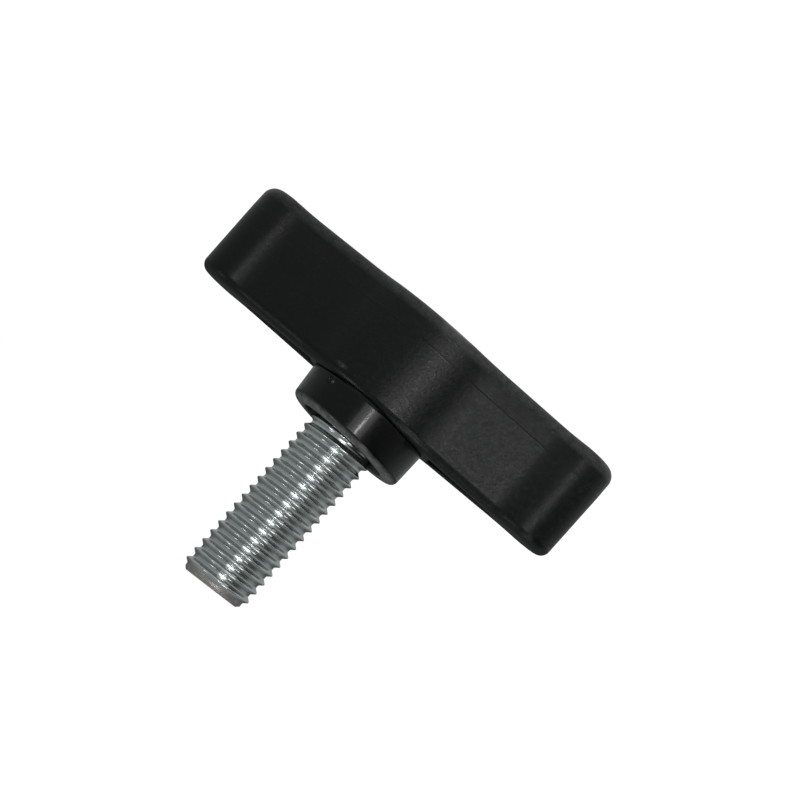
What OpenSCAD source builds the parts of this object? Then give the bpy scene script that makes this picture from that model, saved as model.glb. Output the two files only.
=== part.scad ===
// Thumb screw: a moulded bar grip with a round boss, and a threaded steel stud
// held in it by a grooved anchor head. It stands on the flat top of the grip,
// with the stud pointing up along +Z and the bar lying along X.

/* [Bar] */
// Length of the bar over its rounded ends
bar_length = 59; // [50:0.5:80]
// Height of the bar, from its flat top to its underside
bar_height = 14.3; // [12:0.1:20]
// Width across the bulge at the middle
hub_width = 18; // [16:0.2:24]
// Radius of the shallow curve that forms the bulge
hub_curve_r = 17; // [14:0.5:24]
// Distance from the middle to where each arm starts
arm_start = 10; // [9.5:0.5:12]
// Width of an arm where it starts
arm_start_width = 12.1; // [10:0.1:13]
// Width of an arm where its taper ends
waist_width = 8.2; // [6:0.1:9]
// Distance from the end of the taper to the end of the bar
waist_from_end = 9; // [7:0.5:10]
// Radius of the rounded ends, seen from above
end_r = 4.5; // [3.6:0.1:5.5]
// Radius of the hollow between the bulge and an arm
hub_hollow_r = 6; // [3:0.5:9]
// Radius of the hollow between an arm and its rounded end
end_hollow_r = 7; // [5:0.5:12]

/* [Moulding] */
// Rounding along the top edge
top_round_r = 1.7; // [0.8:0.1:2.5]
// Rounding along the bottom edge
underside_round_r = 1.3; // [0.6:0.1:2]
// Height of the parting line above the flat top
parting_height = 3.8; // [3:0.1:6]
// Draft of the sides, in degrees, away from the parting line
draft = 1; // [0:0.25:2]

/* [Pockets] */
// Width of the cored pocket under each arm, where the arm starts
pocket_width = 5.7; // [3:0.1:6]
// Radius of the outer end of a pocket
pocket_end_r = 1.1; // [0.6:0.1:1.5]
// Distance from the end of the bar to the outer end of a pocket
pocket_from_end = 8.5; // [7.5:0.5:14]
// Plastic left above a pocket
pocket_skin = 4; // [2:0.5:6]
// Land left between the boss and a pocket
pocket_land = 1; // [0.4:0.1:2]

/* [Boss] */
// Diameter of the boss where it leaves the bar
boss_root_d = 17.9; // [16:0.1:20]
// Diameter of the boss at its face
boss_face_d = 17.5; // [15:0.1:19]
// Height of the boss
boss_height = 5.5; // [3:0.1:8]
// Rounding of the boss at its face
boss_face_round_r = 1; // [0.3:0.1:1.5]
// Rounding of the boss where it leaves the bar
boss_root_round_r = 0.3; // [0.1:0.1:0.6]
// Diameter of the recess in the face of the boss
recess_d = 13.1; // [12:0.1:14]
// Depth of the recess
recess_depth = 1.2; // [0.5:0.1:2.5]

/* [Stud] */
// Diameter over the thread
thread_d = 10; // [8:0.5:11]
// Length of the stud in front of the boss
stud_length = 25; // [12:1:60]
// Chamfer at the end of the stud
tip_chamfer = 1; // [0.3:0.1:1.5]
// Diameter of the plain neck between the thread and the plastic
neck_d = 8.2; // [6:0.1:8.6]
// Length of the neck that stands above the floor of the recess
neck_reach = 0.3; // [0.2:0.1:1]

/* [Anchor] */
// Diameter of the anchor head over its twelve corners
anchor_d = 13; // [11:0.5:14]
// Length of each of the two collars of the anchor head
anchor_collar = 2.6; // [1.5:0.1:3]
// Length of the retaining groove between the collars
anchor_groove = 1.8; // [0.8:0.1:2.5]
// Diameter at the bottom of the retaining groove
anchor_groove_d = 9.6; // [8.8:0.1:10.4]
// Plastic between the flat top and the anchor head
anchor_cover = 3.5; // [2.5:0.1:4]

/* [Hidden] */

$fn = 96;
HUB_STEPS = 7;
HOLLOW_STEPS = 4;
END_STEPS = 9;
EDGE_STEPS = 5;
POCKET_STEPS = 5;
ROOT_STEPS = 3;
FACE_STEPS = 6;
ANCHOR_CORNERS = 12;
CORE_OVERLAP = 1;       // how far a cutting or joining solid runs past a face
BOSS_SINK = 0.1;        // how far the boss reaches into the underside of the bar
SAME_POINT = 0.001;     // points of the outline nearer than this are one point

waist_at = bar_length / 2 - waist_from_end;
taper = atan((arm_start_width - waist_width) / 2 / (waist_at - arm_start));
arm_point = [arm_start, arm_start_width / 2];
arm_along = unit(-taper);
arm_outward = unit(90 - taper);
hub_centre = round_centre([0, hub_width / 2 - hub_curve_r], hub_curve_r);
end_centre = round_centre([bar_length / 2 - end_r, 0], end_r);

boss_top = bar_height + boss_height;
recess_floor = boss_top - recess_depth;
stud_tip = boss_top + stud_length;
thread_start = recess_floor + neck_reach;
anchor_top = anchor_cover + 2 * anchor_collar + anchor_groove;

// Outline of the bar, seen along the stud

function unit(angle) = [cos(angle), sin(angle)];

// Points of an arc, each with the outward normal of the outline there.
// A bulge bends round its own centre, and a hollow bends round a centre outside.
function arc(centre, r, from, to, steps, bulge) =
    [for (i = [0:steps])
        let (way = unit(from + (to - from) * i / steps))
        [centre + r * way, bulge ? way : -way]];

// Centre of a round form of the outline. Where the side of an arm would pass
// outside the form, the form moves outward until it touches that side.
function round_centre(centre, r) =
    let (beyond = (arm_point - centre) * arm_outward - r)
    centre + [0, max(0, beyond) / arm_outward[1]];

// Centre of the hollow arc that touches the side of an arm and a round form.
// side is 1 where the form lies before the hollow and -1 where it lies after it.
function hollow_centre(r, centre, round_r, side) =
    let (start = arm_point + r * arm_outward - centre,
         reach = start * arm_along,
         root = sqrt(max(0, reach * reach - start * start + (round_r + r) * (round_r + r))))
    arm_point + r * arm_outward + (side * root - reach) * arm_along;

function direction(from, to) = atan2(to[1] - from[1], to[0] - from[0]);

// One quarter of the outline, from the middle of the bulge to the middle of the end
function quarter() =
    let (hub_hollow = hollow_centre(hub_hollow_r, hub_centre, hub_curve_r, 1),
         end_hollow = hollow_centre(end_hollow_r, end_centre, end_r, -1),
         hub_turn = direction(hub_centre, hub_hollow),
         end_turn = direction(end_centre, end_hollow))
    concat(
        arc(hub_centre, hub_curve_r, 90, hub_turn, HUB_STEPS, true),
        arc(hub_hollow, hub_hollow_r, hub_turn + 180, 270 - taper, HOLLOW_STEPS, false),
        arc(end_hollow, end_hollow_r, 270 - taper, end_turn + 180, HOLLOW_STEPS, false),
        arc(end_centre, end_r, end_turn, 0, END_STEPS, true),
        [[[bar_length / 2, 0], [1, 0]]]);

function flip(points, sx, sy) =
    [for (p = points) [[p[0][0] * sx, p[0][1] * sy], [p[1][0] * sx, p[1][1] * sy]]];

function backwards(points) = [for (i = [len(points) - 1:-1:0]) points[i]];

function all_but_last(points) = [for (i = [0:len(points) - 2]) points[i]];

// Neighbouring arcs meet in one point, which is kept once
function without_doubles(points) =
    [for (i = [0:len(points) - 1])
        if (i == 0 || norm(points[i][0] - points[i - 1][0]) > SAME_POINT) points[i]];

function outline() =
    let (q = without_doubles(quarter()))
    concat(all_but_last(backwards(q)),
           all_but_last(flip(q, -1, 1)),
           all_but_last(backwards(flip(q, -1, -1))),
           all_but_last(flip(q, 1, -1)));

// Levels of the bar, each with its height and how far the outline is drawn in

function draft_inset(z) = abs(z - parting_height) * tan(draft);

function top_levels() =
    [for (i = [0:EDGE_STEPS])
        let (a = 90 * i / EDGE_STEPS,
             z = top_round_r * (1 - cos(a)))
        [z, top_round_r * (1 - sin(a)) + draft_inset(z)]];

function underside_levels() =
    [for (i = [0:EDGE_STEPS])
        let (a = 90 * i / EDGE_STEPS,
             z = bar_height - underside_round_r * (1 - sin(a)))
        [z, underside_round_r * (1 - cos(a)) + draft_inset(z)]];

// Faces that close a level, in strips across the bar, each from a point of the
// outline to its mirror image. first is the number of the level's first point.
function cap(first, n) =
    concat([[first, first + 1, first + n - 1]],
           [for (i = [1:n / 2 - 2]) [first + i, first + i + 1, first + n - i - 1, first + n - i]],
           [[first + n / 2 - 1, first + n / 2, first + n / 2 + 1]]);

// A closed skin over a stack of levels of the outline
module skin(points, levels) {
    n = len(points);
    m = len(levels);
    polyhedron(
        points = [for (l = levels, p = points)
            [p[0][0] - l[1] * p[1][0], p[0][1] - l[1] * p[1][1], l[0]]],
        faces = concat(
            cap(0, n),
            [for (k = [0:m - 2], i = [0:n - 1])
                let (j = (i + 1) % n)
                [k * n + i, (k + 1) * n + i, (k + 1) * n + j, k * n + j]],
            [for (f = cap((m - 1) * n, n)) backwards(f)]));
}

module bar() {
    skin(outline(), concat(top_levels(), [[parting_height, 0]], underside_levels()));
}

// Points of a rounding that turns through a right angle
function rounding(centre, r, from, steps) =
    [for (i = [0:steps]) centre + r * unit(from + 90 * i / steps)];

// Round boss, with its recess left to be cut, on a core that joins it to the bar
module boss() {
    base = bar_height - BOSS_SINK;
    root_centre = [boss_root_d / 2 - boss_root_round_r, base + boss_root_round_r];
    face_centre = [boss_face_d / 2 - boss_face_round_r, boss_top - boss_face_round_r];
    rotate_extrude()
        union() {
            polygon(concat(
                [[0, base]],
                rounding(root_centre, boss_root_round_r, -90, ROOT_STEPS),
                rounding(face_centre, boss_face_round_r, 0, FACE_STEPS),
                [[0, boss_top]]));
            translate([0, bar_height - CORE_OVERLAP])
                square([recess_d / 2, CORE_OVERLAP]);
        }
}

module recess() {
    translate([0, 0, recess_floor])
        cylinder(d = recess_d, h = recess_depth + CORE_OVERLAP);
}

// Cored pocket under one arm. It starts at the land round the boss and narrows,
// as the arm does, to its round outer end.
module pocket() {
    half = pocket_width / 2;
    centre = bar_length / 2 - pocket_from_end - pocket_end_r;
    run = centre - arm_start;
    turn = 90 - atan(half / run) + asin(pocket_end_r / norm([run, half]));
    translate([0, 0, pocket_skin])
        linear_extrude(bar_height - pocket_skin + CORE_OVERLAP)
            difference() {
                polygon(concat(
                    [[0, -half], [arm_start, -half]],
                    [for (i = [-POCKET_STEPS:POCKET_STEPS])
                        [centre, 0] + pocket_end_r * unit(turn * i / POCKET_STEPS)],
                    [[arm_start, half], [0, half]]));
                circle(boss_root_d / 2 + pocket_land);
            }
}

// The two collars of the anchor head
module anchor_collars() {
    for (z = [anchor_cover, anchor_top - anchor_collar])
        translate([0, 0, z])
            cylinder(d = anchor_d, h = anchor_collar, $fn = ANCHOR_CORNERS);
}

// A round core that runs from inside the lower collar, past the groove and the
// upper collar, to the given last points of its outline
module core(last_points) {
    rotate_extrude()
        polygon(concat(
            [[0, anchor_cover + anchor_collar / 2],
             [anchor_groove_d / 2, anchor_cover + anchor_collar / 2],
             [anchor_groove_d / 2, anchor_top - anchor_collar / 2],
             [neck_d / 2, anchor_top - anchor_collar / 2]],
            last_points));
}

// The room that the stud takes up in the plastic
module stud_seat() {
    anchor_collars();
    core([[neck_d / 2, recess_floor + CORE_OVERLAP], [0, recess_floor + CORE_OVERLAP]]);
}

module grip() {
    color([0.08, 0.08, 0.085])
        difference() {
            union() {
                bar();
                boss();
            }
            recess();
            stud_seat();
            for (turn = [0, 180])
                rotate([0, 0, turn])
                    pocket();
        }
}

module threaded_stud() {
    step = abs(thread_d - neck_d) / 2;
    color([0.72, 0.73, 0.74])
        union() {
            anchor_collars();
            core([
                [neck_d / 2, thread_start],
                [thread_d / 2, thread_start + step],
                [thread_d / 2, stud_tip - tip_chamfer],
                [thread_d / 2 - tip_chamfer, stud_tip],
                [0, stud_tip]]);
        }
}

grip();
threaded_stud();
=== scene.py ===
import math

import bmesh
import bpy
from mathutils import Matrix, Vector


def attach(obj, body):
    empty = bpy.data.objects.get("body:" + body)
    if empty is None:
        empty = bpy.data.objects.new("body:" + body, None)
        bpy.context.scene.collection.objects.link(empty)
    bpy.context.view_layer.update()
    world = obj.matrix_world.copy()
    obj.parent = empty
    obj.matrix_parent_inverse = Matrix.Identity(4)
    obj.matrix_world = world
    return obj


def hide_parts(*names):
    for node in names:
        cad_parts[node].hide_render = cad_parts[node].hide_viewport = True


MM = 0.001

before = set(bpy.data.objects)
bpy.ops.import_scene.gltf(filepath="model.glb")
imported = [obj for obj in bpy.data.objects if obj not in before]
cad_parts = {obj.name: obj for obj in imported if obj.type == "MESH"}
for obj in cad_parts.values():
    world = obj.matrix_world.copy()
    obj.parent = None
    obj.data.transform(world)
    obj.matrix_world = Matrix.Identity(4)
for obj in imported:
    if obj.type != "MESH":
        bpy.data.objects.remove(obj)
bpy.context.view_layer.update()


# Camera

# The picture's middle lies aside of the stud's axis and at a height on it, and the picture is turned.
CAMERA = {
    "azimuth": 11.4,
    "elevation": 5.28,
    "distance": 300.0,
    "roll": -0.87,
    "aside": 2.18,
    "height": 10.64,
    "focus_px": 2347.0,
    "image_turn": 40.7,
}
IMAGE_PX = 800
SENSOR_MM = 36.0
CLIP_M = (0.01, 20.0)


def direction(azimuth, elevation):
    """Way from the part to a place seen at an azimuth from -Y towards -X."""
    az, el = math.radians(azimuth), math.radians(elevation)
    return Vector((-math.sin(az) * math.cos(el), -math.cos(az) * math.cos(el), math.sin(el)))


def turned(a, b, degrees):
    """Two square axes turned in their own plane, the first towards the second."""
    t = math.radians(degrees)
    return math.cos(t) * a + math.sin(t) * b, math.cos(t) * b - math.sin(t) * a


def make_camera():
    c = CAMERA
    back = direction(c["azimuth"], c["elevation"])
    right = (-back).cross(Vector((0, 0, -1))).normalized()
    down = (-back).cross(right)
    right, down = turned(right, down, c["roll"])
    place = Vector((0, 0, c["height"])) + c["aside"] * right + c["distance"] * back
    right, down = turned(right, down, -c["image_turn"])
    data = bpy.data.cameras.new("Camera")
    data.sensor_width = SENSOR_MM
    data.lens = c["focus_px"] / IMAGE_PX * SENSOR_MM
    data.clip_start, data.clip_end = CLIP_M
    camera = bpy.data.objects.new("Camera", data)
    axes = Matrix((right, -down, back)).transposed().to_4x4()
    camera.matrix_world = Matrix.Translation(place * MM) @ axes
    bpy.context.scene.collection.objects.link(camera)
    bpy.context.scene.camera = camera


make_camera()


# Sizes

BAR = {
    "length": 59.0,
    "height": 14.3,
    "hub_width": 18.0,
    "hub_r": 17.0,
    "arm_start": 10.0,
    "arm_start_width": 12.1,
    "waist_width": 8.2,
    "waist_from_end": 9.0,
    "end_r": 4.5,
    "hub_hollow_r": 14.0,  # 6 in the source; the surfaces differ by 0.1 mm at most
    "end_hollow_r": 7.0,
    "top_r": 1.7,
    "underside_r": 1.3,
    "parting": 3.8,
    "draft": 0.7,
    "flat_edge": 0.15,
}
# The fine ridge along the parting line, most proud at its middle on X. Its section gives heights from
# the parting line, each with its share of how far the ridge stands out.
FLASH = {
    "out": 0.03,
    "middle": -4.5,
    "reach": 10.0,
    "least": 0.4,
    "section": ((-0.22, 0.0), (-0.12, -0.8), (-0.02, -0.2), (0.06, 0.9), (0.16, 0.9), (0.28, 0.0)),
}
POCKET = {"width": 5.7, "end_r": 1.1, "from_end": 8.5, "skin": 4.0, "land": 1.0, "edge_r": 0.25}
# The face leans, where it is level in the source.
BOSS = {
    "root_r": 9.0,
    "face_r": 8.78,
    "height": 5.5,
    "face_round": 1.0,
    "root_round": 0.25,
    "root_sink": 0.05,
    "inner": (0.95, 1.1),
    "recess_r": 6.55,
    "recess_depth": 1.2,
    "recess_edge": 0.2,
    "lean_x": 1.5,
    "lean_y": 2.0,
    "lean_pivot": 4.0,
}
# The pip that the moulding left on the boss, and the small pit beside it.
PIP = {"place": (4.08, -7.93, 15.1), "outward": (0.45, -0.89, 0.1), "r": 0.24, "height": 0.18}
PIT = {"place": (4.61, -7.70, 15.1), "outward": (-0.514, 0.858, 0.0), "r": 0.42, "height": 0.26}
NUB_TURNS = (0, 20, 40, 60, 78)
# The thread, its slight taper and the slant of the sawn tip: the source has a plain cylinder there.
STUD = {
    "r": 5.0,
    "end_r": 4.88,
    "depth": 0.56,
    "length": 25.0,
    "pitch": 1.5,
    "neck_r": 4.1,
    "neck_reach": 0.1,
    "run_in": 0.6,
    "chamfer": 0.95,
    "phase": 0.09,
    "slant": 4.0,
}
# Shares of the pitch for the flat crest and root, and the shifts over which the corners are averaged.
CREST_SHARE = 0.10
ROOT_SHARE = 0.32
SOFTENING = (-0.05, -0.025, 0.0, 0.025, 0.05)
ANCHOR = {"r": 6.5, "corners": 12, "collar": 2.6, "groove": 1.8, "groove_r": 4.8, "cover": 3.5}
BOSS_TOP = BAR["height"] + BOSS["height"]
FACE_SLOPE = (math.tan(math.radians(BOSS["lean_x"])), math.tan(math.radians(BOSS["lean_y"])))
STEPS = {
    "hub": 26,
    "hollow": 12,
    "end": 26,
    "edge": 12,
    "land": 8,
    "pocket_end": 14,
    "boss": 192,
    "nub": 16,
    "turn": 96,
    "pitch": 24,
}


# Outlines

def unit(degrees):
    a = math.radians(degrees)
    return Vector((math.cos(a), math.sin(a)))


def arc(centre, r, start, stop, steps, bulge=True):
    """Points of an arc, each with the outward normal of the outline there."""
    ways = [unit(start + (stop - start) * i / steps) for i in range(steps + 1)]
    return [(centre + r * way, way if bulge else -way) for way in ways]


def quarter():
    """A quarter of the bar's outline, from the middle of the hub's bulge to the end of the bar."""
    b = BAR
    hub = Vector((0, b["hub_width"] / 2 - b["hub_r"]))
    end = Vector((b["length"] / 2 - b["end_r"], 0))
    run = b["length"] / 2 - b["waist_from_end"] - b["arm_start"]
    taper = math.degrees(math.atan((b["arm_start_width"] - b["waist_width"]) / 2 / run))
    point = Vector((b["arm_start"], b["arm_start_width"] / 2))
    along, outward = unit(-taper), unit(90 - taper)

    def hollow(r, centre, round_r, side):
        """Centre of the hollow arc that touches the straight flank and a round one."""
        start = point + r * outward - centre
        reach = start.dot(along)
        root = math.sqrt(reach**2 - start.length_squared + (round_r + r) ** 2)
        return point + r * outward + (side * root - reach) * along

    def turn(a, b):
        return math.degrees(math.atan2(b.y - a.y, b.x - a.x))

    hub_hollow = hollow(b["hub_hollow_r"], hub, b["hub_r"], 1)
    end_hollow = hollow(b["end_hollow_r"], end, b["end_r"], -1)
    hub_turn, end_turn = turn(hub, hub_hollow), turn(end, end_hollow)
    return (
        arc(hub, b["hub_r"], 90, hub_turn, STEPS["hub"])[:-1]
        + arc(hub_hollow, b["hub_hollow_r"], hub_turn + 180, 270 - taper, STEPS["hollow"], False)
        + arc(end_hollow, b["end_hollow_r"], 270 - taper, end_turn + 180, STEPS["hollow"], False)[:-1]
        + arc(end, b["end_r"], end_turn, 0, STEPS["end"])
    )


def mirrored(points, sx, sy):
    return [(Vector((p.x * sx, p.y * sy)), Vector((n.x * sx, n.y * sy))) for p, n in points]


def outline():
    """The bar's whole outline, anticlockwise from its end at +X."""
    q = quarter()
    return (
        q[::-1][:-1]
        + mirrored(q, -1, 1)[:-1]
        + mirrored(q, -1, -1)[::-1][:-1]
        + mirrored(q, 1, -1)[:-1]
    )


def bar_levels():
    """Heights of the bar's side, each with how far it is drawn in and how far the flash stands out."""
    b = BAR
    slope = math.tan(math.radians(b["draft"]))

    def drawn(z):
        return FLASH["out"] + abs(z - b["parting"]) * slope

    turns = [math.radians(90 * i / STEPS["edge"]) for i in range(STEPS["edge"] + 1)]
    levels = []
    for a in turns:
        z = b["top_r"] * (1 - math.cos(a))
        levels.append((z, b["top_r"] * (1 - math.sin(a)) + drawn(z), 0.0))
    for rise, share in FLASH["section"]:
        z = b["parting"] + rise
        levels.append((z, drawn(z), share * FLASH["out"]))
    for a in turns:
        z = b["height"] - b["underside_r"] * (1 - math.sin(a))
        levels.append((z, b["underside_r"] * (1 - math.cos(a)) + drawn(z), 0.0))
    (low, low_inset, _), (high, high_inset, _) = levels[0], levels[-1]
    return [(low, low_inset + b["flat_edge"], 0.0), *levels, (high, high_inset + b["flat_edge"], 0.0)]


def bar_rings():
    """Rings of points up the bar."""
    shape = outline()
    flash = FLASH
    rings = []
    for z, inset, out in bar_levels():
        points = []
        for p, n in shape:
            fade = math.exp(-(((p.x - flash["middle"]) / flash["reach"]) ** 2))
            in_by = inset - out * (flash["least"] + (1 - flash["least"]) * fade)
            points.append((p.x - in_by * n.x, p.y - in_by * n.y, z))
        rings.append(points)
    return rings


def boss_profile():
    """Radius and height along the boss, from inside the bar to its face."""
    b = BOSS
    root, face = b["root_round"], b["face_round"]
    base = BAR["height"] - b["root_sink"]
    points = [(b["root_r"] - b["inner"][0], BAR["height"] - b["inner"][1]), (b["root_r"] - root, base)]
    for a in range(-60, 1, 15):
        way = unit(a)
        points.append((b["root_r"] - root * (1 - way.x), base + root * (1 + way.y)))
    for a in range(0, 91, 9):
        way = unit(a)
        points.append((b["face_r"] - face * (1 - way.x), BOSS_TOP - face * (1 - way.y)))
    return points


def recess_profile():
    """Radius and height along the recess, from its floor to above the boss."""
    r, edge = BOSS["recess_r"], BOSS["recess_edge"]
    floor = BOSS_TOP - BOSS["recess_depth"]
    points = [(r - 0.15, floor), (r - 0.05, floor + 0.05), (r, floor + 0.15)]
    for a in range(180, 89, -30):
        way = unit(a)
        points.append((r + edge * (1 + way.x), BOSS_TOP - edge * (1 - way.y)))
    points.append((r + edge, BOSS_TOP + 1))
    return points


def leaning(points):
    """Points of the boss leant as in the photograph: its face is low at +X and at the front."""
    slope_x, slope_y = FACE_SLOPE
    low_x, low_y = BOSS["root_r"], BOSS["lean_pivot"]
    moved = []
    for x, y, z in points:
        rise = max(0.0, z - BAR["height"])
        share = min(1.0, rise / BOSS["height"])
        moved.append((x - slope_x * rise, y, z - share * (slope_x * (x + low_x) - slope_y * (y - low_y))))
    return moved


def pocket_outline(side):
    """Outline of a pocket with its outward normals, on the arm at +X or -X."""
    p = POCKET
    half = p["width"] / 2
    centre = Vector((BAR["length"] / 2 - p["from_end"] - p["end_r"], 0))
    run = centre.x - BAR["arm_start"]
    turn = 90 - math.degrees(math.atan(half / run) - math.asin(p["end_r"] / math.hypot(run, half)))
    land_r = BOSS["root_r"] + p["land"]
    land_turn = math.degrees(math.asin(half / land_r))
    steps = STEPS["land"]
    ways = [unit(land_turn * i / steps) for i in range(steps, -steps - 1, -1)]
    points = [(land_r * way, -way) for way in ways]
    points[0] = (points[0][0], (points[0][1] + Vector((0, 1))).normalized())
    points[-1] = (points[-1][0], (points[-1][1] + Vector((0, -1))).normalized())
    points.append((Vector((BAR["arm_start"], -half)), Vector((0, -1))))
    points += arc(centre, p["end_r"], -turn, turn, STEPS["pocket_end"])
    points.append((Vector((BAR["arm_start"], half)), Vector((0, 1))))
    return points if side > 0 else mirrored(points, -1, -1)


def pocket_rings(side):
    """Rings of a pocket's cutting solid, from its floor to above its rounded mouth."""
    shape = pocket_outline(side)
    edge, floor, mouth = POCKET["edge_r"], POCKET["skin"], BAR["height"]
    steps = [(floor, -0.4), (floor + 0.1, -0.12), (floor + 0.4, 0.0)]
    for a in range(0, 91, 30):
        way = unit(a)
        steps.append((mouth - edge * (1 - way.y), edge * (1 - way.x)))
    steps.append((mouth + 1, edge))
    return [[(p.x + out * n.x, p.y + out * n.y, z) for p, n in shape] for z, out in steps]


def circle(r, z, n):
    return [(r * math.cos(2 * math.pi * i / n), r * math.sin(2 * math.pi * i / n), z) for i in range(n)]


def cornered(r, z, n):
    """Points round a collar of the anchor head, on the flats between its corners."""
    half = math.pi / ANCHOR["corners"]
    points = []
    for i in range(n):
        a = 2 * math.pi * i / n
        reach = r * math.cos(half) / math.cos(a % (2 * half) - half)
        points.append((reach * math.cos(a), reach * math.sin(a), z))
    return points


def anchor_rings():
    """The stud's anchor head inside the grip, from its lowest face to its neck."""
    a, n = ANCHOR, STEPS["turn"]
    low = a["cover"]
    groove, high = low + a["collar"], low + a["collar"] + a["groove"]
    top = high + a["collar"]
    return [
        cornered(a["r"], low, n),
        cornered(a["r"], groove, n),
        circle(a["groove_r"], groove, n),
        circle(a["groove_r"], high, n),
        cornered(a["r"], high, n),
        cornered(a["r"], top, n),
        circle(STUD["neck_r"], top, n),
    ]


def nub_rings(place, outward, r, height):
    """A low round nub on a surface, sunk into it by its own height."""
    place, outward = Vector(place), Vector(outward).normalized()
    side = outward.cross(Vector((0, 0, 1))).normalized()
    up = outward.cross(side)
    steps = [(-height, r)]
    for turn in NUB_TURNS:
        a = math.radians(turn)
        steps.append((height * math.sin(a), r * math.cos(a)))
    ways = [unit(360 * i / STEPS["nub"]) for i in range(STEPS["nub"])]
    return [[place + outward * lift + reach * (w.x * side + w.y * up) for w in ways] for lift, reach in steps]


# Mesh helpers

def ring(bm, points):
    return [bm.verts.new(Vector(p) * MM) for p in points]


def skin(bm, a, b, material=0):
    """Quads between two rings of the same number of points."""
    n = len(a)
    for i in range(n):
        j = (i + 1) % n
        face = bm.faces.new([a[i], a[j], b[j], b[i]])
        face.material_index = material


def cap(bm, verts, material=0, flip=False):
    face = bm.faces.new(verts[::-1] if flip else verts)
    face.material_index = material


def loft(bm, levels, material=0):
    """A closed solid through levels of points that run anticlockwise, the lowest first."""
    rings = [ring(bm, level) for level in levels]
    cap(bm, rings[0], material, flip=True)
    for a, b in zip(rings, rings[1:]):
        skin(bm, a, b, material)
    cap(bm, rings[-1], material)


def add_object(bm, name, materials):
    mesh = bpy.data.meshes.new(name)
    bm.to_mesh(mesh)
    bm.free()
    for material in materials:
        mesh.materials.append(material)
    obj = bpy.data.objects.new(name, mesh)
    bpy.context.scene.collection.objects.link(obj)
    return obj


def apply_modifiers(obj):
    shape = obj.evaluated_get(bpy.context.evaluated_depsgraph_get())
    mesh = bpy.data.meshes.new_from_object(shape)
    obj.modifiers.clear()
    obj.data = mesh


def combine(obj, tool, operation):
    """Joins a tool solid to an object, or cuts it out, and deletes the tool."""
    modifier = obj.modifiers.new("Combine", "BOOLEAN")
    modifier.operation = operation
    modifier.solver = "EXACT"
    modifier.material_mode = "INDEX"
    modifier.object = tool
    apply_modifiers(obj)
    bpy.data.objects.remove(tool)


STRAIGHT = -0.99


def drop_idle_points(obj):
    """Removes the points that a boolean leaves along a straight edge between two faces."""
    bm = bmesh.new()
    bm.from_mesh(obj.data)
    idle = []
    for vert in bm.verts:
        if len(vert.link_edges) == 2:
            ways = [(edge.other_vert(vert).co - vert.co).normalized() for edge in vert.link_edges]
            if ways[0].dot(ways[1]) < STRAIGHT:
                idle.append(vert)
    bmesh.ops.dissolve_verts(bm, verts=idle)
    bm.to_mesh(obj.data)
    bm.free()


def finish_normals(obj, sharp_degrees):
    """Smooth shading that keeps flat faces flat and corners sharp."""
    for polygon in obj.data.polygons:
        polygon.use_smooth = True
    obj.data.set_sharp_from_angle(angle=math.radians(sharp_degrees))
    modifier = obj.modifiers.new("Normals", "WEIGHTED_NORMAL")
    modifier.keep_sharp = True
    apply_modifiers(obj)


# Materials

# Between these values lies most of a noise, or its middle part.
MOST = (0.3, 0.7)
MIDDLE = (0.35, 0.65)
WHITE = (1, 1, 1, 1)


class Tree:
    """Short calls for building a node tree."""

    def __init__(self, tree):
        self.tree = tree

    def put(self, value, socket):
        """Links a value that is a socket, and otherwise sets it."""
        if isinstance(value, bpy.types.NodeSocket):
            self.tree.links.new(value, socket)
        else:
            socket.default_value = value

    def add(self, kind, inputs=None, **settings):
        node = self.tree.nodes.new(kind)
        for key, value in settings.items():
            setattr(node, key, value)
        for key, value in (inputs or {}).items():
            self.put(value, node.inputs[key])
        return node

    def math(self, operation, a, b):
        return self.add("ShaderNodeMath", {0: a, 1: b}, operation=operation).outputs[0]

    def vector(self, operation, a, b, output):
        return self.add("ShaderNodeVectorMath", {0: a, 1: b}, operation=operation).outputs[output]

    def spread(self, value, low, high, to_low, to_high, way="LINEAR"):
        """A value between low and high spread over another range, and held at its ends."""
        inputs = {"Value": value, "From Min": low, "From Max": high, "To Min": to_low, "To Max": to_high}
        return self.add("ShaderNodeMapRange", inputs, interpolation_type=way).outputs[0]

    def mix(self, share, a, b, way="MIX"):
        """Colour b laid over colour a by a share."""
        node = self.add("ShaderNodeMix", data_type="RGBA", blend_type=way)
        for socket, value in ((node.inputs[0], share), (node.inputs[6], a), (node.inputs[7], b)):
            self.put(value, socket)
        return node.outputs[2]


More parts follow.
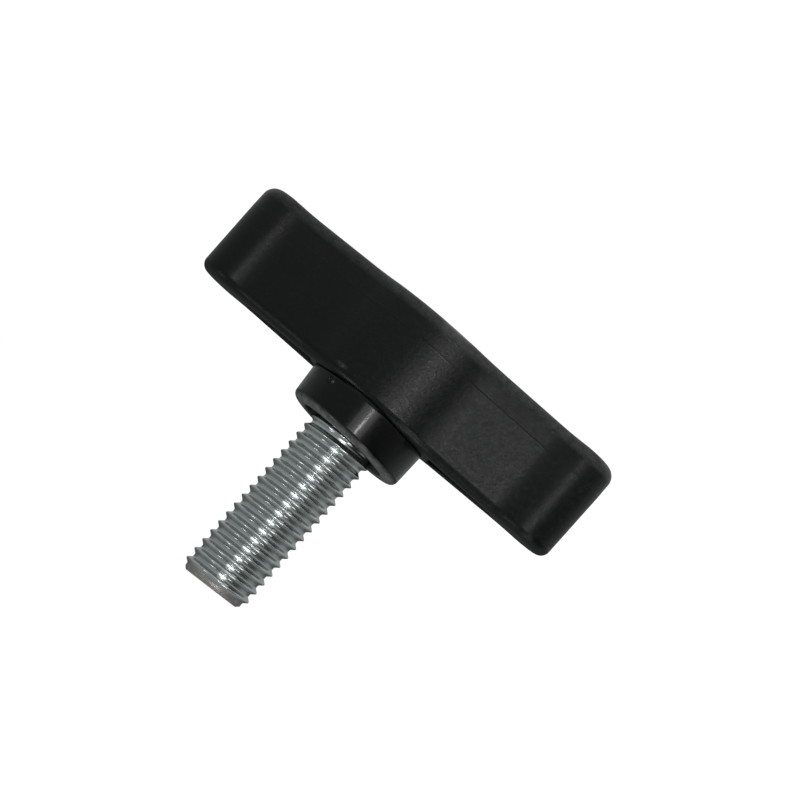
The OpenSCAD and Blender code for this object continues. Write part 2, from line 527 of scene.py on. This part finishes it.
class Material(Tree):
    """A material, with short calls for what varies over it. Sizes are in millimetres."""

    def __init__(self, name):
        self.material = bpy.data.materials.new(name)
        self.material.use_nodes = True
        super().__init__(self.material.node_tree)
        self.shader = self.tree.nodes["Principled BSDF"]
        self.place = self.add("ShaderNodeTexCoord").outputs["Object"]

    def noise(self, size, detail=3.0, rough=0.5, stretch=None):
        """Noise whose features are about a size across."""
        place = self.place
        if stretch:
            place = self.add("ShaderNodeMapping", {"Vector": place, "Scale": stretch}).outputs[0]
        inputs = {"Vector": place, "Scale": 1 / (size * MM), "Detail": detail, "Roughness": rough}
        return self.add("ShaderNodeTexNoise", inputs).outputs["Fac"]

    def axis(self, name):
        return self.add("ShaderNodeSeparateXYZ", {"Vector": self.place}).outputs[name]

    def between(self, length, low, high, to_low, to_high):
        """A length between two others in millimetres, spread over another range."""
        return self.spread(length, low * MM, high * MM, to_low, to_high)

    def radius(self):
        """Distance from the stud's axis."""
        flat = self.vector("MULTIPLY", self.place, (1, 1, 0), 0)
        return self.add("ShaderNodeVectorMath", {0: flat}, operation="LENGTH").outputs["Value"]

    def distance(self, place, reach):
        """Distance from a place as a share of a reach along each axis."""
        away = self.vector("SUBTRACT", self.place, [v * MM for v in place], 0)
        shares = self.vector("MULTIPLY", away, [1 / (v * MM) for v in reach], 0)
        return self.add("ShaderNodeVectorMath", {0: shares}, operation="LENGTH").outputs["Value"]

    def ramp(self, value, stops):
        node = self.add("ShaderNodeValToRGB", {"Fac": value})
        elements = node.color_ramp.elements
        while len(elements) < len(stops):
            elements.new(0.5)
        for element, (at, colour) in zip(elements, stops):
            element.position = at
            element.color = (*colour, 1)
        return node.outputs["Color"]

    def bump(self, height, depth, normal=None):
        inputs = {"Height": height, "Distance": depth * MM, "Strength": 1.0}
        if normal:
            inputs["Normal"] = normal
        return self.add("ShaderNodeBump", inputs).outputs["Normal"]

    def link(self, **values):
        for key, value in values.items():
            self.tree.links.new(value, self.shader.inputs[key.replace("_", " ")])

    def set(self, **values):
        for key, value in values.items():
            self.shader.inputs[key.replace("_", " ")].default_value = value


BAR_LOOK = {
    "dark": (0.0022, 0.0026, 0.0025),
    "light": (0.0042, 0.0047, 0.0046),
    "gloss": 0.22,
    "rough": 0.29,
    "grain": (0.45, 0.022),
}
BOSS_LOOK = {
    "dark": (0.0012, 0.0014, 0.0015),
    "light": (0.0022, 0.0025, 0.0028),
    "gloss": 0.21,
    "rough": 0.22,
    "grain": (0.3, 0.004),
}
# Painted light: the pale colour of the band along the bar's top edge.
TOP_EDGE_LIGHT_COLOUR = (0.19, 0.195, 0.195, 1)
MARK_COLOUR = (0.10, 0.105, 0.105, 1)
# Pale colour of the dusting and specks; the dusting is partly painted sheen.
DUST_AND_SHEEN_COLOUR = (0.16, 0.165, 0.165, 1)
# Painted light: the pale colour of the band round the rim of the boss's face.
RIM_LIGHT_COLOUR = (0.18, 0.183, 0.186, 1)
# Painted glint: the pale colour of the spot on the moulded pip, and below, how far it reaches.
PIP_GLINT_COLOUR = (0.13, 0.135, 0.135, 1)
MARK = {"place": (4.7, -8.2, 12.8), "reach": (1.1, 1.5, 0.4)}
PIP_GLINT_REACH = (0.28, 0.5, 0.28)
ZINC_ROOT = (0.44, 0.47, 0.465)
ZINC_FLANK = (0.48, 0.51, 0.505)
ZINC_CREST = (0.53, 0.555, 0.55)
STEEL_DARK = (0.27, 0.25, 0.235)
STEEL_LIGHT = (0.42, 0.395, 0.38)


def plastic_material(name, look):
    """Moulded black plastic: mottled colour, a fine grain, and a surface that is duller on the arms."""
    m = Material(name)
    clouds = m.spread(m.noise(2.6, 4.0, 0.6), *MOST, 0.6, 1.1)
    flecks = m.spread(m.noise(0.45, 3.0, 0.6), *MOST, 0.7, 1.2)
    mottle = m.spread(m.math("MULTIPLY", clouds, flecks), 0.4, 1.3, 0.0, 1.0)
    colour = m.ramp(mottle, [(0.0, look["dark"]), (1.0, look["light"])])
    uneven = m.spread(m.noise(0.7, 4.0, 0.7), *MOST, look["rough"] - 0.08, look["rough"] + 0.08)
    on_arms = m.between(m.math("ABSOLUTE", m.axis("X"), 0.0), 8.0, 10.0, 0.0, 0.07)
    m.link(Roughness=m.math("ADD", uneven, on_arms))
    m.set(Specular_IOR_Level=look["gloss"])
    grain_size, grain_depth = look["grain"]
    grain = m.bump(m.noise(grain_size, 2.0, 0.5), grain_depth)
    m.link(Normal=m.bump(m.noise(5.0, 2.0, 0.5), 0.015, grain))
    return m, colour


def bar_material():
    """The bar's plastic, with a pale band of painted light along its top edge, a pale dusting that is partly
    painted sheen, and a few pale specks.
    """
    m, colour = plastic_material("Bar plastic", BAR_LOOK)
    along = m.axis("X")
    # Painted light: a pale band on the rounded top edge, which faces the floor, stands in for light from
    # below; it is weaker towards +X.
    edge = m.between(m.axis("Z"), 0.2, BAR["top_r"] + 0.1, 1.0, 0.0)
    painted_edge_light = m.math("MULTIPLY", edge, m.spread(m.noise(0.8, 5.0, 0.7), *MIDDLE, 0.35, 1.0))
    painted_edge_light = m.math("MULTIPLY", painted_edge_light, m.between(along, -4, 8, 1.0, 0.6))
    colour = m.mix(painted_edge_light, colour, TOP_EDGE_LIGHT_COLOUR)
    near = m.spread(m.distance(MARK["place"], MARK["reach"]), 0.2, 1.0, 0.8, 0.0)
    mark = m.math("MULTIPLY", near, m.spread(m.noise(0.4, 3.0, 0.6), 0.4, 0.6, 0.2, 1.0))
    colour = m.mix(mark, colour, MARK_COLOUR)
    # Pale dusting, partly painted sheen: strongest towards -X, where the bar is lit, and faint towards +X.
    # The specks after it lie evenly all over.
    dust_and_sheen = m.spread(m.noise(0.8, 3.0, 0.7), 0.45, 0.7, 0.0, 0.05)
    dust_and_sheen = m.math("MULTIPLY", dust_and_sheen, m.between(along, -4, 6, 1.0, 0.15))
    colour = m.mix(dust_and_sheen, colour, DUST_AND_SHEEN_COLOUR)
    specks = m.spread(m.noise(0.34, 1.0, 0.4), 0.70, 0.78, 0.0, 0.06)
    m.link(Base_Color=m.mix(specks, colour, DUST_AND_SHEEN_COLOUR))
    return m.material


def boss_material():
    """The boss's plastic, moulded against a smoother face of the mould, with painted light along the rim of
    its face and a painted glint on the small moulded nub.
    """
    m, colour = plastic_material("Boss plastic", BOSS_LOOK)
    slope_x, slope_y = FACE_SLOPE
    height = m.vector("DOT_PRODUCT", m.place, (slope_x, -slope_y, 1.0), "Value")
    face = BOSS_TOP - slope_x * BOSS["root_r"] - slope_y * BOSS["lean_pivot"]
    # Painted light: a pale band on the rounded rim of the face, outside the recess, stands in for light from
    # above.
    edge = m.between(height, face - 0.75, face - 0.15, 0.0, 1.0)
    painted_rim_light = m.math("MULTIPLY", edge, m.spread(m.noise(0.9, 5.0, 0.7), *MIDDLE, 0.3, 1.0))
    outside = m.between(m.radius(), BOSS["recess_r"] + 0.05, BOSS["recess_r"] + 0.3, 0.0, 1.0)
    colour = m.mix(m.math("MULTIPLY", painted_rim_light, outside), colour, RIM_LIGHT_COLOUR)
    # Painted glint: a pale spot on the pip.
    pip_glint = m.spread(m.distance(PIP["place"], PIP_GLINT_REACH), 0.3, 1.0, 1.0, 0.0)
    m.link(Base_Color=m.mix(pip_glint, colour, PIP_GLINT_COLOUR))
    m.set(Coat_Weight=0.1, Coat_Roughness=0.06)
    return m.material


def zinc_material():
    """Bright zinc plating, greyer in the roots of the thread."""
    m = Material("Zinc plating")
    depth = m.between(m.radius(), STUD["r"] - STUD["depth"], STUD["r"], 0.0, 1.0)
    tone = m.math("ADD", depth, m.spread(m.noise(0.9, 4.0, 0.6), *MOST, -0.25, 0.25))
    m.link(Base_Color=m.ramp(tone, [(0.0, ZINC_ROOT), (0.45, ZINC_FLANK), (1.0, ZINC_CREST)]))
    m.set(Metallic=0.9)
    m.link(Roughness=m.spread(m.noise(0.5, 3.0, 0.6), *MOST, 0.12, 0.2))
    m.link(Normal=m.bump(m.noise(0.4, 3.0, 0.6, (1.0, 1.0, 4.0)), 0.005))
    return m.material


def cut_material():
    """The sawn end of the stud: bare steel, duller and browner than the plating."""
    m = Material("Cut steel")
    m.link(Base_Color=m.ramp(m.noise(0.5, 4.0, 0.6), [(0.3, STEEL_DARK), (0.7, STEEL_LIGHT)]))
    m.set(Metallic=0.85)
    m.link(Roughness=m.spread(m.noise(0.3, 3.0, 0.6), *MOST, 0.36, 0.5))
    m.link(Normal=m.bump(m.noise(0.3, 3.0, 0.6, (1.0, 6.0, 1.0)), 0.03))
    return m.material


# Grip

GRIP_MATERIALS = (bar_material(), boss_material())
BAR_FACE, BOSS_FACE = 0, 1
GRIP_SHARP = 35


def grip_solid(rings, face, name="Tool"):
    bm = bmesh.new()
    loft(bm, rings, face)
    return add_object(bm, name, GRIP_MATERIALS)


def turned_solid(profile):
    return grip_solid([leaning(circle(r, z, STEPS["boss"])) for r, z in profile], BOSS_FACE)


def make_grip():
    """The bar joined to its boss, less the recess, the pockets and the room of the anchor head."""
    grip = grip_solid(bar_rings(), BAR_FACE, "Grip")
    combine(grip, turned_solid(boss_profile()), "UNION")
    combine(grip, turned_solid(recess_profile()), "DIFFERENCE")
    for side in (1, -1):
        combine(grip, grip_solid(pocket_rings(side), BAR_FACE), "DIFFERENCE")
    room = [*anchor_rings(), circle(STUD["neck_r"], BOSS_TOP, STEPS["turn"])]
    combine(grip, grip_solid(room, BOSS_FACE), "DIFFERENCE")
    combine(grip, grip_solid(nub_rings(**PIT), BOSS_FACE), "DIFFERENCE")
    combine(grip, grip_solid(nub_rings(**PIP), BOSS_FACE), "UNION")
    drop_idle_points(grip)
    finish_normals(grip, GRIP_SHARP)
    return grip


# Stud

STUD_SHARP = 45
SPARE_TURNS = 3
SAME_PLACE = 1e-7


def thread_height(part):
    """Height of the thread, 0 at its root and 1 at its crest, at a part of the pitch."""
    heights = []
    for shift in SOFTENING:
        distance = abs((part + shift) % 1 - 0.5) * 2
        height = (1 - ROOT_SHARE - distance) / (1 - ROOT_SHARE - CREST_SHARE)
        heights.append(min(1.0, max(0.0, height)))
    return sum(heights) / len(heights)


def make_stud():
    """A right-hand thread as a strip that winds round the stud, with the anchor head below it."""
    s = STUD
    a_turn, a_pitch = STEPS["turn"], STEPS["pitch"]
    start = BOSS_TOP - BOSS["recess_depth"]
    tip = BOSS_TOP + s["length"]
    thread_from = start + s["neck_reach"]
    turns = math.ceil((tip - start) / s["pitch"]) + SPARE_TURNS
    slope = math.tan(math.radians(s["slant"]))
    rim = s["end_r"] - s["chamfer"]
    bm = bmesh.new()
    verts = {}
    to_end = {}

    def section_point(step, k):
        """A vertex of the strip. The last point of one turn is the first of the next."""
        key = (step + a_turn, 0) if k == a_pitch else (step, k)
        if key not in verts:
            way = unit(360 * key[0] / a_turn)
            part = key[1] / a_pitch
            z = start + s["pitch"] * (key[0] / a_turn + part + s["phase"] - 1)
            crest = s["r"] + (s["end_r"] - s["r"]) * (z - start) / (tip - start)
            r = crest - s["depth"] * (1 - thread_height(part))
            run_in = min(1.0, max(0.0, (z - thread_from) / (s["run_in"] * s["pitch"])))
            r = s["neck_r"] + (r - s["neck_r"]) * run_in
            end = tip - slope * (s["end_r"] - rim * way.x)
            r = min(r, rim + max(0.0, end - z))
            past = (z - end) / s["pitch"] - 1 / a_pitch
            r *= min(1.0, max(0.0, 1 - past))
            z = min(max(z, start), tip - slope * (s["end_r"] - r * way.x))
            verts[key] = bm.verts.new(Vector((r * way.x, r * way.y, z)) * MM)
            to_end[verts[key]] = end - z
        return verts[key]

    for step in range(-a_turn, turns * a_turn):
        for k in range(a_pitch):
            corners = (
                section_point(step, k),
                section_point(step + 1, k),
                section_point(step + 1, k + 1),
                section_point(step, k + 1),
            )
            face = bm.faces.new(corners)
            face.material_index = int(max(to_end[corner] for corner in corners) < s["chamfer"])
    head = [ring(bm, level) for level in anchor_rings()]
    head.append(ring(bm, circle(s["neck_r"], start, a_turn)))
    cap(bm, head[0], flip=True)
    for a, b in zip(head, head[1:]):
        skin(bm, a, b)
    bmesh.ops.remove_doubles(bm, verts=bm.verts, dist=SAME_PLACE)
    bmesh.ops.dissolve_degenerate(bm, edges=bm.edges, dist=SAME_PLACE)
    bmesh.ops.recalc_face_normals(bm, faces=bm.faces)
    stud = add_object(bm, "Stud", (zinc_material(), cut_material()))
    finish_normals(stud, STUD_SHARP)
    return stud


PIECES = (
    (make_grip(), "grip", "black_plastic"),
    (make_stud(), "threaded_stud", "zinc_steel"),
)
for piece, node, slot in PIECES:
    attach(piece, "root")
    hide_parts(node)


# Floor, light and world

FLOOR = {
    "dark": (0.5, 0.5, 0.5),
    "light": (0.54, 0.54, 0.54),
    "mottle": 60.0,
    "rough": 0.3,
    "half_m": 4.0,
    "gap": 0.02,
}
# How bright the floor is to the camera and to mirrored rays, and a patch of painted light in front of the
# part, a glow that only mirrored rays see and that stands in for light from below:
# its radius, its middle and how far to each side it reaches, with what is left of it elsewhere.
FLOOR_GLOW = {
    "camera": 0.96,
    "glossy": 0.22,
    "patch": 0.78,
    "patch_r": (45, 60),
    "patch_way": (25, 0),
    "patch_turn": (9, 18),
    "beside": 0.15,
}
# The dark sides give azimuth, elevation, width, and the level of light in the middle and outside.
ROOM = {
    "tint": (0.93, 1.0, 0.99, 1),
    "dark_sides": ((66, 20, 48, 0.0, 1.0), (191, 0, 70, 0.09, 0.36)),
}
# Name, azimuth, elevation, distance, size and radiance.
LAMPS = (
    ("Window", 17, 2.5, 520, (262, 170), 2.7),
    ("Lamp", 18.5, 3.4, 500, (28, 30), 50.0),
    ("Side_lamp", -42, 50, 500, (90, 90), 6.0),
    ("Strip_low", 47, 30, 500, (120, 130), 3.2),
    ("Strip_middle", 52, 50, 500, (110, 130), 3.2),
    ("Strip_high", 72, 70, 500, (90, 130), 3.2),
)
LAMP_TARGET = (0, 0, 12)


def make_floor():
    """A white table. What the camera sees of it is lifted to white, less the part's shadow. Mirrored rays see
    it glow, with a patch of painted light in front of the part.
    """
    m = Material("White table")
    m.link(Base_Color=m.ramp(m.noise(FLOOR["mottle"], 2.0), [(0.3, FLOOR["dark"]), (0.7, FLOOR["light"])]))
    m.set(Roughness=FLOOR["rough"])
    glow = FLOOR_GLOW
    rays = m.add("ShaderNodeLightPath").outputs
    seen = m.math("MULTIPLY", rays["Is Camera Ray"], glow["camera"])
    # Painted light: a glowing patch near the part, towards the front, seen by mirrored rays only.
    near = m.between(m.radius(), *glow["patch_r"], 1.0, 0.0)
    way = m.add("ShaderNodeVectorMath", {0: m.place}, operation="NORMALIZE").outputs[0]
    towards = m.vector("DOT_PRODUCT", way, direction(*glow["patch_way"]), "Value")
    inner, outer = (math.cos(math.radians(turn)) for turn in glow["patch_turn"])
    sector = m.spread(towards, outer, inner, glow["beside"], glow["patch"])
    level = m.math("ADD", m.math("MULTIPLY", near, sector), glow["glossy"])
    strength = m.math("ADD", seen, m.math("MULTIPLY", rays["Is Glossy Ray"], level))
    light = m.add("ShaderNodeEmission", {"Color": WHITE, "Strength": strength})
    both = m.add("ShaderNodeAddShader", {0: m.shader.outputs[0], 1: light.outputs[0]})
    m.put(both.outputs[0], m.tree.nodes["Material Output"].inputs["Surface"])
    bm = bmesh.new()
    bmesh.ops.create_grid(bm, x_segments=1, y_segments=1, size=FLOOR["half_m"])
    floor = add_object(bm, "Floor", (m.material,))
    floor.location.z = -FLOOR["gap"] * MM


def make_light(name, azimuth, elevation, distance, size, radiance):
    """An area light of a given size and radiance that faces the part."""
    way = direction(azimuth, elevation)
    data = bpy.data.lights.new(name, "AREA")
    data.shape = "RECTANGLE"
    data.size, data.size_y = size[0] * MM, size[1] * MM
    data.energy = radiance * math.pi * data.size * data.size_y
    light = bpy.data.objects.new(name, data)
    place = Matrix.Translation((Vector(LAMP_TARGET) + way * distance) * MM)
    light.matrix_world = place @ way.to_track_quat("Z", "Y").to_matrix().to_4x4()
    bpy.context.scene.collection.objects.link(light)


def make_world():
    """An even grey room that is darker on one side and behind the part. The camera sees white."""
    world = bpy.data.worlds.new("World")
    bpy.context.scene.world = world
    world.use_nodes = True
    t = Tree(world.node_tree)
    place = t.add("ShaderNodeTexCoord").outputs["Generated"]
    levels = []
    for azimuth, elevation, width, low, high in ROOM["dark_sides"]:
        towards = t.vector("DOT_PRODUCT", place, direction(azimuth, elevation), "Value")
        levels.append(t.spread(towards, math.cos(math.radians(width)), 1.0, high, low, "SMOOTHSTEP"))
    tinted = t.mix(1.0, t.math("MULTIPLY", *levels), ROOM["tint"], "MULTIPLY")
    seen = t.add("ShaderNodeLightPath").outputs["Is Camera Ray"]
    background = t.tree.nodes["Background"]
    t.put(t.mix(seen, tinted, WHITE), background.inputs["Color"])
    background.inputs["Strength"].default_value = 1.0


make_floor()
for lamp in LAMPS:
    make_light(*lamp)
make_world()

bpy.context.scene.view_settings.view_transform = "Standard"
